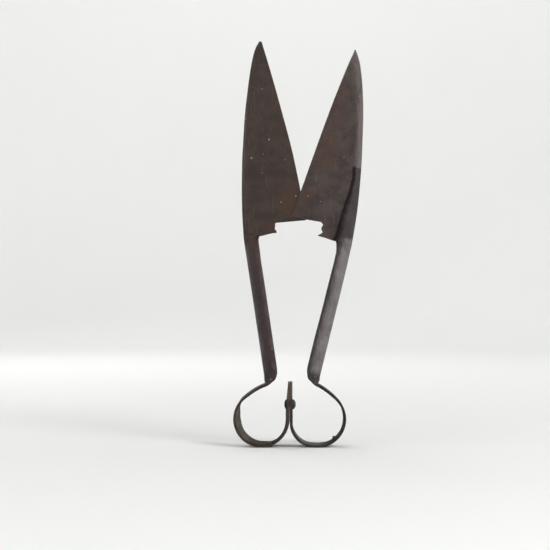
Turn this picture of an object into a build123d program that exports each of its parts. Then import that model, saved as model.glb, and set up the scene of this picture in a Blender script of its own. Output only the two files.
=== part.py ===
from build123d import *
from dataclasses import dataclass
import math
import os

# Double-bow sheep shears, hand forged. Millimetres, +Z up along the blades.
# The shears stand on the bottoms of their two bows, on the plane z = 0.
# x runs across the blades and y through their thickness: the blades rub on y = 0,
# the left one behind that plane and the right one in front of it.
#
# Each half is laid out in its own flat frame (u, v). v runs up the outer edge of the
# grip, u runs from that edge towards the other half, and (0, 0) is the lower outer
# corner of the grip. Both halves are the same forging, one turned half a turn about
# the upright axis, and each is sprung open to its own lean.

# --- placing ---
BOW_PLANE_X = -7.4  # plane where the inner ends of the two bows lie back to back


@dataclass
class Half:
    """What differs between the two halves: spring set, forging and wear."""

    lean: float  # degrees, grip and blade leaning outward
    tongue_tip: float  # thickness at the very top of the tongue
    shoulder_v: float  # foot of the blade, top of the solid shoulder
    lost_length: float  # worn off the blade's point
    lost_width: float  # ground off the cutting edge
    grip_width: float
    grip_shift: float  # along u
    heel_drop: float  # heel of the cutting edge below the top of the step
    foot_rise: float  # foot of the blade beside its spur, above the shoulder


LEFT = Half(
    lean=8.4,
    tongue_tip=1.0,
    shoulder_v=119.2,
    lost_length=0.0,
    lost_width=0.0,
    grip_width=11.7,
    grip_shift=0.0,
    heel_drop=1.0,
    foot_rise=1.2,
)
RIGHT = Half(
    lean=13.9,
    tongue_tip=2.3,
    shoulder_v=116.8,
    lost_length=5.4,
    lost_width=2.4,
    grip_width=11.2,
    grip_shift=-0.35,
    heel_drop=1.4,
    foot_rise=0.3,
)

# --- bows: flat spring strip ---
LOOP_RADIUS = 23.6  # outside of the strip
LOOP_CENTRE = (-7.4, -32.2)  # in (u, v)
STRIP_THICKNESS = 2.4
STRIP_LEAVES = 125.0  # degrees round the loop where the strip runs off to the neck
NECK_CORNER = (0.0, -3.6)  # top of the strip where it meets the grip
NECK_CUT_U = -5.0  # bow and grip are parted here, across the strip
STRIP_DEPTH_BOTTOM = 21.0
STRIP_DEPTH_TOP = 13.0
DEPTH_TAPER_FROM_Z = 20.0
TONGUE_TOP_Z = 54.2
TONGUE_TAPER_FROM_Z = 40.0
BURR_ANGLE = -51.0  # small forging burr on the inside of the right loop
BURR_SIZE = (2.2, 1.7)

# --- rivet through both strip ends ---
RIVET_Z = 35.2
RIVET_DIAMETER = 4.4
RIVET_HEAD_DIAMETER = 8.6
LEFT_HEAD_HEIGHT = 2.0
RIGHT_HEAD_HEIGHT = 2.9

# --- grips: hollow half-round, open towards the other half ---
GRIP_DEPTH = 19.0
GRIP_WALL = 2.2
GRIP_STRAIGHT_TOP = 98.0
GRIP_DEPTH_AT_NECK = 13.0
NECK_TAPER_TO = 18.0
HOLLOW_TOP = 108.0

# --- tang: lies on the outer face of the blade ---
TANG_WIDTH = 13.0
TANG_TOP_V = 180.0
TANG_FACE_Y = 5.6  # outer face at the shoulder
TANG_FACE_Y_TOP = 3.6

# --- blades ---
BLADE_GAP = 0.12  # from the rubbing plane to each flat face
BACK_THICKNESS = 3.0
EDGE_THICKNESS = 0.7
HEEL_V = 128.8
HEEL_U = 54.2
TIP_U = 37.4
TIP_V = 281.6
WEAR_FROM_V = 250.0  # a worn point is drawn down above here
BACK = [(1.8, 141.5), (7.6, 181.5), (11.5, 201.0), (16.0, 222.0), (21.0, 241.0), (29.0, 266.7)]
SHOULDER_U = -0.2  # outer edge of the blade's foot
EDGE = [(39.6, 280.6), (42.1, 263.4), (47.3, 222.0), (51.3, 181.0)]


def at(u, v, y=0.0):
    return Vector(u, y, v)


def slab(wire_edges, y_from, y_to):
    """Solid between two depths whose front outline is the closed run of edges."""
    face = make_face(Wire(wire_edges))
    return extrude(face.moved(Pos(0, y_from, 0)), amount=y_to - y_from, dir=(0, 1, 0))


def on_loop(radius, angle):
    """Point at a radius and angle about the loop's centre, in a half's own frame."""
    a = math.radians(angle)
    return at(LOOP_CENTRE[0] + radius * math.cos(a), LOOP_CENTRE[1] + radius * math.sin(a))


def along_loop(angle):
    """Direction of travel round the loop towards the neck, at an angle."""
    a = math.radians(angle)
    return Vector(math.sin(a), 0, -math.cos(a))


def worn(points, half, lost_width=0.0):
    """Blade points above the heel, drawn down and in by wear."""
    drop = half.lost_length / (TIP_V - WEAR_FROM_V)
    return [at(u - lost_width, v - drop * max(v - WEAR_FROM_V, 0)) for u, v in points]


def blade_back(half):
    """Points of the blade's thick back, from the shoulder up."""
    return [at(SHOULDER_U, half.shoulder_v), *worn(BACK, half)]


def outer_face(keep):
    """Cutter plane of the blade's ground outer face, thick at the back, thin at the edge."""
    slope = (BACK_THICKNESS - EDGE_THICKNESS) / HEEL_U
    plane = Plane(origin=(0, BLADE_GAP + BACK_THICKNESS, 0), x_dir=(0, 0, 1), z_dir=(slope, 1, 0))
    return plane, keep


def make_blade(half):
    back = blade_back(half)
    edge = worn(EDGE, half, half.lost_width)
    tip = at(TIP_U - half.lost_length / 5, TIP_V - half.lost_length)
    heel = at(HEEL_U, HEEL_V - half.heel_drop)
    foot_v = half.shoulder_v + half.foot_rise
    step_top = at(30.0, HEEL_V + 0.3)
    step_low = at(27.8, half.shoulder_v + 3.2)
    spur = at(27.9, foot_v - 0.4)
    beside_spur = at(24.6, foot_v)
    shoulder = at(TANG_WIDTH, half.shoulder_v)
    rim = [
        Spline(*back, tip, tangents=[(0.06, 0, 1), (0.8, 0, 0.6)]),
        Line(tip, edge[0]),
        Spline(*edge, heel, tangents=[(0.12, 0, -1), (0.05, 0, -1)]),
        Line(heel, step_top),
        ThreePointArc(step_top, (step_top + step_low) / 2 + at(-0.6, 0.8), step_low),
        Line(step_low, spur),
        Line(spur, beside_spur),
        Line(beside_spur, shoulder),
        Line(shoulder, back[0]),
    ]
    plate = slab(rim, BLADE_GAP, BLADE_GAP + BACK_THICKNESS)
    plane, keep = outer_face(Keep.BOTTOM)
    return split(plate, bisect_by=plane, keep=keep)


def half_round(v, width, depth, inset=0.0):
    """Closed D in the plane at height v: curved side out, flat side at u = width."""
    mid_u = width - (width - inset) * math.cos(math.radians(45))
    side_y = depth / 2 * math.sin(math.radians(45))
    corner = math.cos(math.radians(22.5)), math.sin(math.radians(22.5))
    near = (width - (width - inset) * corner[1], depth / 2 * corner[0])
    return make_face(
        Wire(
            [
                Line(at(width, v, depth / 2), at(width, v, -depth / 2)),
                ThreePointArc(
                    at(width, v, -depth / 2), at(near[0], v, -near[1]), at(mid_u, v, -side_y)
                ),
                ThreePointArc(at(mid_u, v, -side_y), at(inset, v), at(mid_u, v, side_y)),
                ThreePointArc(at(mid_u, v, side_y), at(near[0], v, near[1]), at(width, v, depth / 2)),
            ]
        )
    )


def shoulder_top(v):
    """Solid rectangle under the foot of the blade and of the tang."""
    low, high = BLADE_GAP, TANG_FACE_Y
    sides = (TANG_WIDTH, high), (TANG_WIDTH, low), (SHOULDER_U, low), (SHOULDER_U, high)
    return make_face(Polyline(*(at(u, v, y) for u, y in sides), close=True))


def depth_profile(inset):
    """Solid that narrows the grip in depth down to the neck, less a wall's inset."""
    neck, full = GRIP_DEPTH_AT_NECK / 2 - inset, GRIP_DEPTH / 2 + 0.1 - inset
    top = GRIP_STRAIGHT_TOP + 1
    narrow_v = -6.0
    side = make_face(
        Wire(
            [
                Line(at(0, -15, -neck), at(0, narrow_v, -neck)),
                Spline(at(0, narrow_v, -neck), at(0, NECK_TAPER_TO, -full), tangents=[(0, 0, 1), (0, 0, 1)]),
                Line(at(0, NECK_TAPER_TO, -full), at(0, top, -full)),
                Line(at(0, top, -full), at(0, top, full)),
                Line(at(0, top, full), at(0, NECK_TAPER_TO, full)),
                Spline(at(0, NECK_TAPER_TO, full), at(0, narrow_v, neck), tangents=[(0, 0, -1), (0, 0, -1)]),
                Line(at(0, narrow_v, neck), at(0, -15, neck)),
                Line(at(0, -15, neck), at(0, -15, -neck)),
            ]
        )
    )
    return extrude(side.moved(Pos(-1, 0, 0)), amount=TANG_WIDTH + 2, dir=(1, 0, 0))


def make_grip(half):
    lower = NECK_CORNER[1] - STRIP_THICKNESS
    toe, lip_v, top = at(-0.1, lower - 0.2), lower + 14.0, GRIP_STRAIGHT_TOP + 1
    width = half.grip_width
    outline = slab(
        [
            Line(at(-0.1, top), toe),
            Spline(
                toe,
                at(5.4, lower + 2.6),
                at(9.6, lower + 6.6),
                at(width, lip_v),
                tangents=[(1, 0, 0.3), (0, 0, 1)],
            ),
            Line(at(width, lip_v), at(width, top)),
            Line(at(width, top), at(-0.1, top)),
        ],
        -GRIP_DEPTH,
        GRIP_DEPTH,
    )
    bar = extrude(half_round(-12, width, GRIP_DEPTH), amount=GRIP_STRAIGHT_TOP + 12, dir=(0, 0, 1))
    shoulder = loft(
        [half_round(GRIP_STRAIGHT_TOP, width, GRIP_DEPTH), shoulder_top(half.shoulder_v)],
        ruled=True,
    )
    hollow_depth, hollow_top = GRIP_DEPTH - 2 * GRIP_WALL, GRIP_STRAIGHT_TOP - 4
    inner_round = half_round(hollow_top, width, hollow_depth, GRIP_WALL)
    hollow = extrude(inner_round, amount=hollow_top + 12, dir=(0, 0, -1)) & depth_profile(GRIP_WALL)
    run_out = loft(
        [inner_round, half_round(HOLLOW_TOP, width + 0.6, 3.0, width - 1.2)],
        ruled=True,
    )
    grip = (bar & outline & depth_profile(0)) + shoulder - hollow - run_out
    return Pos(half.grip_shift, 0, 0) * grip


def make_tang(half):
    back = blade_back(half)
    inner_top = at(TANG_WIDTH, back[3].Z)
    inner_foot = at(TANG_WIDTH, half.shoulder_v)
    rim = [
        Spline(*back[:4], tangents=[(0.06, 0, 1), (0.2, 0, 1)]),
        Line(back[3], inner_top),
        Line(inner_top, inner_foot),
        Line(inner_foot, back[0]),
    ]
    side = make_face(
        Polyline(
            at(-1, half.shoulder_v, 0),
            at(-1, TANG_TOP_V, 0),
            at(-1, TANG_TOP_V, TANG_FACE_Y_TOP),
            at(-1, half.shoulder_v, TANG_FACE_Y),
            close=True,
        )
    )
    bar = slab(rim, 0, TANG_FACE_Y) & extrude(side, amount=40, dir=(1, 0, 0))
    plane, keep = outer_face(Keep.TOP)
    return split(bar, bisect_by=plane, keep=keep)


def in_frame(lean):
    """Where a half's own frame lies when its inner bow end is on x = 0."""
    loop = at(*LOOP_CENTRE)
    return Pos(-LOOP_RADIUS, 0, LOOP_RADIUS) * Rot(0, -lean, 0) * Pos(-loop.X, 0, -loop.Z)


def make_strip(half):
    """Whole spring strip, tongue to neck, in the upright frame of the pair."""
    frame = in_frame(half.lean)
    inner = LOOP_RADIUS - STRIP_THICKNESS
    corner = at(*NECK_CORNER)
    top_run = TangentArc(on_loop(LOOP_RADIUS, STRIP_LEAVES), corner, tangent=along_loop(STRIP_LEAVES))
    low_run = TangentArc(
        on_loop(inner, STRIP_LEAVES),
        corner + at(0.5, -STRIP_THICKNESS - 0.1),
        tangent=along_loop(STRIP_LEAVES),
    )
    inside = low_run @ 1 + at(3.0, 0.8)
    neck_end = [Line(corner, at(inside.X, corner.Z + 0.6)), Line(at(inside.X, corner.Z + 0.6), inside)]
    loop_foot = -half.lean
    sweep = STRIP_LEAVES - 360 - loop_foot
    edges = [
        ThreePointArc(
            on_loop(LOOP_RADIUS, loop_foot),
            on_loop(LOOP_RADIUS, loop_foot + sweep / 2),
            on_loop(LOOP_RADIUS, STRIP_LEAVES),
        ),
        top_run,
        *neck_end,
        Line(inside, low_run @ 1),
        low_run,
        ThreePointArc(
            on_loop(inner, STRIP_LEAVES),
            on_loop(inner, loop_foot + sweep / 2),
            on_loop(inner, loop_foot),
        ),
    ]
    placed = [frame * edge for edge in edges]
    tongue = [
        Line(placed[-1] @ 1, at(-STRIP_THICKNESS, TONGUE_TAPER_FROM_Z)),
        Line(at(-STRIP_THICKNESS, TONGUE_TAPER_FROM_Z), at(-half.tongue_tip, TONGUE_TOP_Z)),
        Line(at(-half.tongue_tip, TONGUE_TOP_Z), at(0, TONGUE_TOP_Z)),
        Line(at(0, TONGUE_TOP_Z), placed[0] @ 0),
    ]
    strip = slab([*placed, *tongue], -STRIP_DEPTH_BOTTOM, STRIP_DEPTH_BOTTOM)
    wide, narrow = STRIP_DEPTH_BOTTOM / 2, STRIP_DEPTH_TOP / 2
    top = TONGUE_TOP_Z + 6
    profile = make_face(
        Polyline(
            at(-80, -1, -wide),
            at(-80, DEPTH_TAPER_FROM_Z, -wide),
            at(-80, top, -narrow),
            at(-80, top, narrow),
            at(-80, DEPTH_TAPER_FROM_Z, wide),
            at(-80, -1, wide),
            close=True,
        )
    )
    strip = strip & extrude(profile, amount=90, dir=(1, 0, 0))
    hole = Pos(0, 0, RIVET_Z) * Rot(0, 90, 0) * Cylinder(RIVET_DIAMETER / 2, 4 * STRIP_THICKNESS)
    return strip - hole


def make_half(half):
    """Bow, grip and blade of one half, in the upright frame of the pair."""
    frame = in_frame(half.lean)
    strip = make_strip(half)
    neck_block = frame * Pos(NECK_CUT_U + 10, 0, -4) * Box(20, 40, 24)
    bow = strip - neck_block
    grip = frame * (make_grip(half) + make_tang(half)) + (strip & neck_block)
    blade = frame * make_blade(half)
    return bow, grip, blade


def dome_arc(side, height):
    """Round top of a rivet head, from its rim to the rivet's axis."""
    radius = RIVET_HEAD_DIAMETER / 2
    ball = (radius**2 + height**2) / (2 * height)
    centre_x = STRIP_THICKNESS + height - ball
    half_angle = math.asin(radius / ball) / 2
    return ThreePointArc(
        at(side * STRIP_THICKNESS, radius),
        at(side * (centre_x + ball * math.cos(half_angle)), ball * math.sin(half_angle)),
        at(side * (STRIP_THICKNESS + height), 0),
    )


def make_rivet():
    """Set rivet with a domed head on each side, turned about its own axis along x."""
    inside, shank, head = STRIP_THICKNESS, RIVET_DIAMETER / 2, RIVET_HEAD_DIAMETER / 2
    left_dome, right_dome = dome_arc(-1, LEFT_HEAD_HEIGHT), dome_arc(1, RIGHT_HEAD_HEIGHT)
    profile = make_face(
        Wire(
            [
                left_dome,
                Line(left_dome @ 1, right_dome @ 1),
                right_dome,
                Line(at(inside, head), at(inside, shank)),
                Line(at(inside, shank), at(-inside, shank)),
                Line(at(-inside, shank), at(-inside, head)),
            ]
        )
    )
    return Pos(0, 0, RIVET_Z) * revolve(profile, axis=Axis.X)


def make_burr():
    """Small pointed burr left on the inside of the right loop, in the pair's frame."""
    width, height = BURR_SIZE
    inner = LOOP_RADIUS - STRIP_THICKNESS
    spike = slab(
        [
            Line(at(inner + 0.5, -width / 2), at(inner - height, 0)),
            Line(at(inner - height, 0), at(inner + 0.5, width / 2)),
            Line(at(inner + 0.5, width / 2), at(inner + 0.5, -width / 2)),
        ],
        -1.5,
        1.5,
    )
    return Pos(LOOP_RADIUS, 0, LOOP_RADIUS) * Rot(0, -BURR_ANGLE, 0) * spike


left_bow, left_handle, left_blade = make_half(LEFT)
right_bow, right_handle, right_blade = (Rot(0, 0, 180) * piece for piece in make_half(RIGHT))
right_bow = right_bow + make_burr()

NODES = {
    "left_bow": left_bow,
    "right_bow": right_bow,
    "left_handle": left_handle,
    "right_handle": right_handle,
    "left_blade": left_blade,
    "right_blade": right_blade,
    "bow_rivet": make_rivet(),
}

os.makedirs("parts", exist_ok=True)
for name, shape in NODES.items():
    placed_shape = Pos(BOW_PLANE_X, 0, 0) * shape
    placed_shape.label = name
    export_step(placed_shape, f"parts/{name}.step")
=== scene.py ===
"""Double-bow sheep shears: finished meshes, steel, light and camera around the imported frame.

Lengths are millimetres until Half.stand turns them into the frame's metres.
Each half is one forging, drawn in its own flat frame (u, v, y): v runs up the outer edge
of the grip, u runs towards the other half and y goes from the rubbing plane of the blades
outwards. The right half is the left one's design turned half a turn about the upright axis.
"""
import math
from collections import namedtuple

import bmesh
import bpy
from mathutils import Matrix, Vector, noise


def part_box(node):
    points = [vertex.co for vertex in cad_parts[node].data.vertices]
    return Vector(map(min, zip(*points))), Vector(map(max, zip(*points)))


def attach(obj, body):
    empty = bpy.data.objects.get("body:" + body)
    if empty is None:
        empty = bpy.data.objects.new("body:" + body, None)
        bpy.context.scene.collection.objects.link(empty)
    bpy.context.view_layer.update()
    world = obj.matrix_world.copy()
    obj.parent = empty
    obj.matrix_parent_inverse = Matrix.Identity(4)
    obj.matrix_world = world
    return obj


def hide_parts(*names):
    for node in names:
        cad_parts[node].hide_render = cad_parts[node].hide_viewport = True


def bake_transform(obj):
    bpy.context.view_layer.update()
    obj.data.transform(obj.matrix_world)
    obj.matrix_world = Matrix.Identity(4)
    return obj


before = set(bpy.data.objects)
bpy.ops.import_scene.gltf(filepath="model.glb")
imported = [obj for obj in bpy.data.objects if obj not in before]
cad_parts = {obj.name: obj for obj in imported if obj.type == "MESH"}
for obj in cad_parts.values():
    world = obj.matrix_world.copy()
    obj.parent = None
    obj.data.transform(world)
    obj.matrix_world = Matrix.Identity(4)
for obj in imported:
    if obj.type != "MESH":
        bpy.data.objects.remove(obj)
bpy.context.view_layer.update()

MM = 0.001

# --- read from the frame ---
bow_low, bow_high = (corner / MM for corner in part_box("left_bow"))
rivet_low, rivet_high = (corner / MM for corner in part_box("bow_rivet"))
BOW_PLANE_X = bow_high.x  # the two bows lie back to back on this plane
LOOP_RADIUS = (bow_high.x - bow_low.x) / 2
STRIP_DEPTH = bow_high.y - bow_low.y
RIVET_Z = (rivet_low.z + rivet_high.z) / 2
HEAD_RADIUS = (rivet_high.z - rivet_low.z) / 2

# --- bows ---
LOOP_CENTRE = (-7.4, -32.2)  # in (u, v)
STRIP_THICKNESS = 2.4
STRIP_LEAVES = 125.0  # degrees round the loop where the strip runs off to the neck
NECK_CORNER = (0.0, -3.6)
TONGUE_TOP_Z = 54.2
TONGUE_TAPER_FROM_Z = 36.0
TAPER_PAST_TOP = 4.0  # the taper would end this far above the tongue's top
TONGUE_CORNER = 2.4  # depth lost at the tongue's rounded top
STRIP_DEPTH_TOP = 13.0
DEPTH_TAPER_FROM_Z = 20.0
DEPTH_TAPER_HEIGHT = 40.0
HALF_GAP = 0.03  # between the bow plane and each strip
BURR_TRAVEL = 129.0  # degrees round the right loop from its tongue
BURR_SPREAD = 2.7  # degrees

# --- grips and tangs ---
GRIP_DEPTH = 19.0
GRIP_WALL = 2.2
NECK_DEPTH = 13.0
NECK_SWELL = 0.6  # how much deeper than the strip the grip is where they meet
TANG_WIDTH = 13.0
TANG_TOP_V = 180.0
TANG_WALL = 0.9
TANG_FACE_Y = 5.6
TANG_FACE_Y_TOP = 3.6
TANG_UNDER_Y = 1.4

# --- blades ---
BLADE_GAP = 0.12
BACK_THICKNESS = 3.0
EDGE_THICKNESS = 1.0
TIP_THINNING = 0.72  # thickness at the tip, as a share of that at the heel
THINNEST = 0.35
CROWN, CROWN_WIDTH = 0.8, 11.0  # rounding of the outer face along the back
BEVEL, BEVEL_WIDTH = 0.4, 3.0  # grinding of the outer face along the cutting edge
HEEL_V = 128.8
HEEL_U = 54.2
SPUR_U = HEEL_U / 2
TIP_U = 37.4
TIP_V = 281.6
TIP_RETREAT = 5.0  # length that wear takes for each millimetre that the tip moves to the back
WEAR_FROM_V = 250.0
SHOULDER_U = -0.2
# (v, u) of the back and of the cutting edge of an unworn blade
BACK_POINTS = (
    (141.5, 1.8),
    (181.5, 7.6),
    (201.0, 11.5),
    (222.0, 16.0),
    (241.0, 21.0),
    (266.7, 28.9),
    (275.5, 32.8),
)
EDGE_POINTS = ((HEEL_V, HEEL_U), (181.0, 51.4), (222.0, 47.0), (263.4, 41.6), (280.6, 39.0))

# --- mesh of a blade: rows run across it from the foot of its root to its tip ---
ROOT_ROWS, ALL_ROWS = 20, 190
ROOT_COLUMNS, ALL_COLUMNS = 26, 46  # the root's columns, and those out to the cutting edge
HEEL_ROWS, NICKED_ROWS = 14, 3  # rows above the heel that its drop and its nicks reach
WALL_STEPS = 7
RIM, BACK_RIM, EDGE_RIM = 0.35, 0.9, 0.18  # how far the rounded rim stands out past the grid
EDGE_INSET = 0.15  # between the grid's last column and the cutting edge
TIP_BACK_INSET, TIP_EDGE_INSET = 0.65, 1.3  # between the last row's two ends and the tip
HEEL_SLOPE = 0.1  # how much lower the heel's row ends than it starts
FAR_FROM_EDGE = 20.0  # stands for the root's distance to the cutting edge

# --- layers of noise, one for each kind of unevenness ---
FLAT_FACE, FORGING, HAMMERING, BLADE_STAIN, ROOT_NICKS, EDGE_NICKS, HEEL_NICKS = 0, 3, 5, 7, 11, 13, 17
TANG_WAVES, TANG_NICKS, GRIP_DENTS, GRIP_STAIN = 21, 23, 31, 33
STRIP_EDGES, STRIP_WAVES, STRIP_SKIN, STRIP_STAIN = 41, 43, 45, 47
TANG_SLANT = FLAT_FACE  # these two share a layer


def ease(x, low, high):
    """0 before low, 1 after high, smooth between."""
    t = min(max((x - low) / (high - low), 0.0), 1.0)
    return t * t * (3 - 2 * t)


def blend(a, b, t):
    return a + (b - a) * t


def hump(x, centre, width):
    """1 at centre, fading over width to each side."""
    return math.exp(-(((x - centre) / width) ** 2))


def profile(*pairs):
    """Smooth curve through (place, value) pairs that never overshoots them, level beyond the ends."""
    rises = [(b[1] - a[1]) / (b[0] - a[0]) for a, b in zip(pairs, pairs[1:])]
    slopes = [rises[0]]
    for before, after in zip(rises, rises[1:]):
        slopes.append(0.0 if before * after <= 0 else 2 * before * after / (before + after))
    slopes.append(rises[-1])

    def value(place):
        if place <= pairs[0][0]:
            return pairs[0][1]
        if place >= pairs[-1][0]:
            return pairs[-1][1]
        k = next(i for i in range(len(pairs) - 1) if place <= pairs[i + 1][0])
        span = pairs[k + 1][0] - pairs[k][0]
        t = (place - pairs[k][0]) / span
        start = (1 + 2 * t) * (1 - t) ** 2 * pairs[k][1] + t * (1 - t) ** 2 * span * slopes[k]
        end = t * t * (3 - 2 * t) * pairs[k + 1][1] + t * t * (t - 1) * span * slopes[k + 1]
        return start + end

    return value


class Half:
    """One of the two forgings: where it stands, and what forging, wear and rust made of it.

    Its facts are set below, in millimetres and degrees. Travel means degrees round the loop
    from the foot of the tongue.

    tongue_tip: thickness at the tongue's top
    shoulder_v: where the grip ends and the blade's root begins
    step: (v, u) points up the inner side of the root, from its spur to the heel
    foot_line: rise of the root's lower edge, by u
    heel_drop: how far the heel hangs below HEEL_V at the cutting edge
    lost_length, lost_width: what wear took off the tip and off the cutting edge
    twist: how far the strip leans into the loop from front to rear, by travel
    thickness: of the strip, by travel
    fullness: how far the loop swells out of round, by travel
    burr: height of the small burr inside the loop
    grip_width, grip_shift: reach of the lips, and how it changes above the neck
    grip_outer: shift of the grip's outer side, by v
    flare: how much wider the tang is at its foot
    inner_shade: painted shade on the strip's inner face where it is turned from the lamps, by travel
    grip_bare_and_sheen, grip_rust: bare steel that is partly painted highlight and reflection, and rusty
    steel, by the share of the way from web to lips
    polish: how much use has polished it, from 0 to 1
    rust_patches: (u, v, width, height, strength) on the blade
    chips: (u, v, radius) of bright spots on the blade's front face, which is at chip_depth
    """

    def __init__(self, name, lean, **facts):
        self.name = name
        self.turned = name == "right"
        self.sin, self.cos = math.sin(math.radians(lean)), math.cos(math.radians(lean))
        self.lean = lean
        self.seed = 40.0 if self.turned else 10.0
        self.__dict__.update(facts)

    def world(self, u, v, y):
        """A point of the half's own frame, in the frame's metres."""
        across, up = self.upright(u, v)
        return self.stand(across, up, y)

    def upright(self, u, v):
        """(across, up) of a point: across from the bow plane, up from the floor."""
        du, dv = u - LOOP_CENTRE[0], v - LOOP_CENTRE[1]
        across = du * self.cos - dv * self.sin - LOOP_RADIUS
        return across, du * self.sin + dv * self.cos + LOOP_RADIUS

    def stand(self, across, up, y):
        turn = -1 if self.turned else 1
        return Vector((BOW_PLANE_X + turn * across, turn * y, up)) * MM

    def uneven(self, a, b, size, layer):
        """Smooth noise between -1 and 1 over a surface, with bumps of the given size."""
        return noise.noise(Vector((a / size, b / size, self.seed + layer)))


LEFT = Half(
    "left",
    lean=8.4,
    tongue_tip=1.0,
    shoulder_v=119.2,
    step=((120.3, 28.1), (121.2, 28.2), (123.4, 27.0), (125.8, 27.6), (128.2, 28.1), (129.0, 28.9)),
    foot_line=profile((0, 0), (13, 0), (24.6, 0.9), (28, 0.7)),
    heel_drop=1.5,
    lost_length=0.0,
    lost_width=0.0,
    twist=profile(
        (-40, 0), (-10, 1), (10, 0), (45, -4), (65, -2.5), (82, 1.5),
        (100, 3.5), (140, 8), (165, 10), (190, 10.5), (212, 3), (225, 0),
    ),
    thickness=profile(
        (-40, 2.35), (-10, 2.75), (10, 2.9), (35, 2.9), (60, 2.4),
        (165, 2.4), (195, 2.0), (225, 2.05), (240, 2.35),
    ),
    fullness=profile((0, 0), (90, 0)),
    burr=0.0,
    grip_width=11.9,
    grip_shift=0.0,
    grip_outer=profile((-4, 0), (-1, -0.35), (3, 0), (100, 0)),
    flare=0.0,
    inner_shade=profile((0, 0.4), (55, 0.7), (105, 0.65), (135, 0.05), (185, 0.0), (215, 0.5)),
    grip_bare_and_sheen=profile((0, 0.42), (0.35, 0.2), (0.55, 0.0), (0.72, 0.45), (1, 0.6)),
    grip_rust=profile((0.3, 0.15), (0.8, 0.6)),
    polish=0.15,
    rust_patches=((41, 142, 10, 13, 0.45), (22, 127, 10, 8, 0.35), (52, 134, 5, 8, 0.4)),
    chips=(
        (33.5, 241.4, 0.7), (33.1, 198.6, 0.95), (26.3, 187.2, 0.5),
        (16.3, 185.3, 1.0), (48.6, 148.3, 0.7), (23.2, 171.5, 0.45),
    ),
    chip_depth=0.0,
)
RIGHT = Half(
    "right",
    lean=13.9,
    tongue_tip=2.3,
    shoulder_v=116.8,
    step=(
        (116.9, 29.4), (117.9, 28.0), (120.6, 26.2), (122.4, 27.7),
        (124.0, 27.9), (126.3, 27.3), (129.0, 29.6),
    ),
    foot_line=profile((0, 0), (13, -1.1), (16, -1.1), (23, -0.5), (26.6, -0.4), (27.6, -0.3)),
    heel_drop=1.7,
    lost_length=5.4,
    lost_width=2.4,
    twist=profile((-40, 0), (-10, 0.2), (95, 0), (120, -1.6), (145, -1.6), (175, 0)),
    thickness=profile(
        (-40, 2.35), (-10, 2.6), (10, 2.5), (50, 2.2), (75, 2.0),
        (110, 1.8), (160, 1.9), (195, 2.0), (225, 2.05), (240, 2.35),
    ),
    fullness=profile((5, 0), (15, 0.6), (30, 1.1), (50, 1.3), (62, 1.1), (75, 0.5), (83, 0)),
    burr=1.6,
    grip_width=11.2,
    grip_shift=-0.35,
    grip_outer=profile((-5, 0), (-1, -1.3), (3, -1.0), (30, -0.95), (70, -0.9), (98, -0.6), (116, 0)),
    flare=1.5,
    inner_shade=profile((0, 0.0), (70, 0.05), (100, 0.5), (118, 0.8), (215, 0.85)),
    grip_bare_and_sheen=profile((0, 0.62), (0.45, 0.6), (0.75, 0.42), (0.95, 0.1)),
    grip_rust=profile((0.3, 0.12), (0.9, 0.3)),
    polish=0.8,
    rust_patches=(
        (37, 181, 8, 13, 0.36),
        (46, 142, 9, 14, 0.4),
        (20, 122, 8, 6, 0.3),
        (38, 215, 5, 26, 0.22),
    ),
    chips=((24.0, 186.0, 0.6), (41.0, 199.0, 0.45)),
    chip_depth=1.8,
)


class Shell:
    """Vertices, faces and painted masks of one piece while it is being laid out."""

    # The masks: bare steel that is partly painted highlight and reflection; rust; and soot that is partly
    # painted shade.
    MASKS = ("bare", "rust", "soot")

    def __init__(self):
        self.points = []
        self.faces = []
        self.masks = {mask: [] for mask in self.MASKS}

    def add(self, point, **masks):
        """Adds a vertex in metres with its masks, and returns its number."""
        self.points.append(point)
        for mask, values in self.masks.items():
            values.append(min(max(masks.get(mask, 0.0), 0.0), 1.0))
        return len(self.points) - 1

    def bridge(self, ring, next_ring):
        """Quads between two closed rings of as many vertices."""
        count = len(ring)
        for i in range(count):
            j = (i + 1) % count
            self.faces.append((ring[i], ring[j], next_ring[j], next_ring[i]))

    def cap(self, ring):
        """Closes a ring of vertices with triangles about its middle."""
        middle = sum((self.points[i] for i in ring), Vector()) / len(ring)
        masks = {mask: values[ring[0]] for mask, values in self.masks.items()}
        hub = self.add(middle, **masks)
        for i, j in zip(ring, ring[1:] + ring[:1]):
            self.faces.append((i, j, hub))

    def tube(self, rings):
        """Joins rings one after another and closes both ends."""
        for ring, next_ring in zip(rings, rings[1:]):
            self.bridge(ring, next_ring)
        self.cap(rings[0])
        self.cap(rings[-1])

    def solid(self, name, material):
        """The finished object, its faces turned outwards."""
        mesh = bpy.data.meshes.new(name)
        mesh.from_pydata(self.points, [], self.faces)
        work = bmesh.new()
        work.from_mesh(mesh)
        bmesh.ops.recalc_face_normals(work, faces=work.faces)
        work.to_mesh(mesh)
        work.free()
        mesh.shade_smooth()
        for mask, values in self.masks.items():
            mesh.attributes.new(mask, "FLOAT", "POINT").data.foreach_set("value", values)
        mesh.materials.append(material)
        made = bpy.data.objects.new(name, mesh)
        bpy.context.scene.collection.objects.link(made)
        return made

    def piece(self, name, material, slot, node):
        """The finished object, standing for its CAD node."""
        made = self.solid(name, material)
        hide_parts(node)
        return made


# --- blades ---
def blade_sides(half):
    """u of the blade's back and of its cutting edge, as functions of v."""

    def worn(v):
        return v - half.lost_length * max(v - WEAR_FROM_V, 0) / (TIP_V - WEAR_FROM_V)

    tip = (TIP_V - half.lost_length, TIP_U - half.lost_length / TIP_RETREAT)
    back = profile((half.shoulder_v, SHOULDER_U), *((worn(v), u) for v, u in BACK_POINTS), tip)
    edge = profile(EDGE_POINTS[0], *((worn(v), u - half.lost_width) for v, u in EDGE_POINTS[1:]))
    return back, edge


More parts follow.
